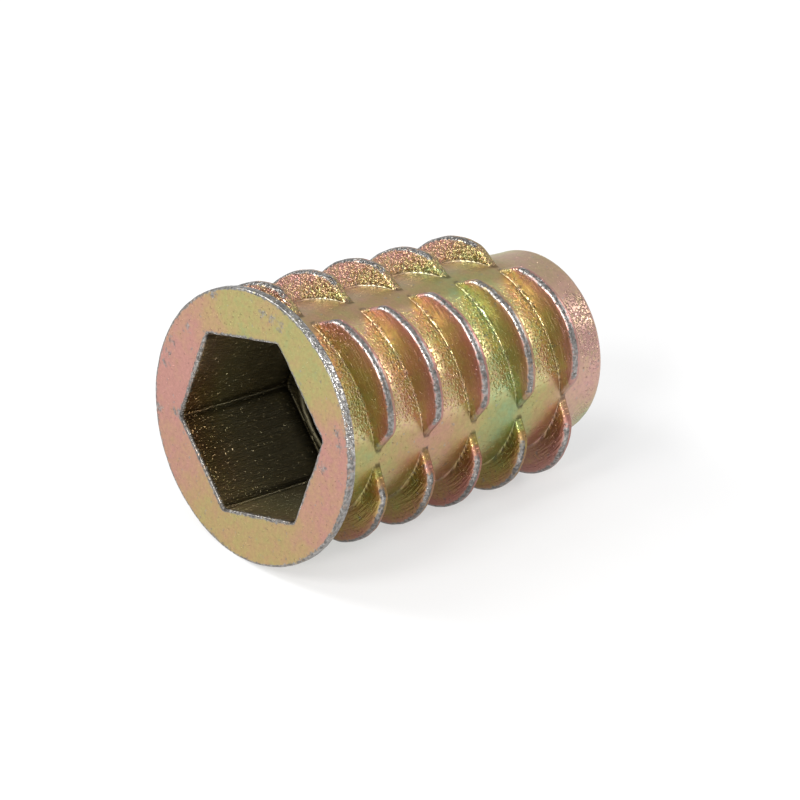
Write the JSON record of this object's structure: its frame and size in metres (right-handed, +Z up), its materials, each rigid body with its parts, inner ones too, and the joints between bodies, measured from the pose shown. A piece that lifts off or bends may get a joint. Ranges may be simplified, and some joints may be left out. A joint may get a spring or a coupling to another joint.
{
  "type": "threaded insert",
  "caption": "Flanged die-cast insert for wood, with a hexagon drive socket, a coarse interrupted outer thread and an internal machine thread.",
  "frame": {"origin": "centre of the flange's outer face, at the mouth of the hexagon socket", "axes": "+X along the insert's axis, from the flange to the nose; +Z up as it lies, with a plain lane between two columns of ribs straight below"},
  "size_m": [0.018, 0.0126, 0.0126],
  "materials": {
    "zinc_casting": "yellow-chromated zinc die casting, satin, with a faint pink and green tint and bare worn edges"
  },
  "bodies": {
    "root": {"insert": "zinc_casting"}
  },
  "joints": []
}
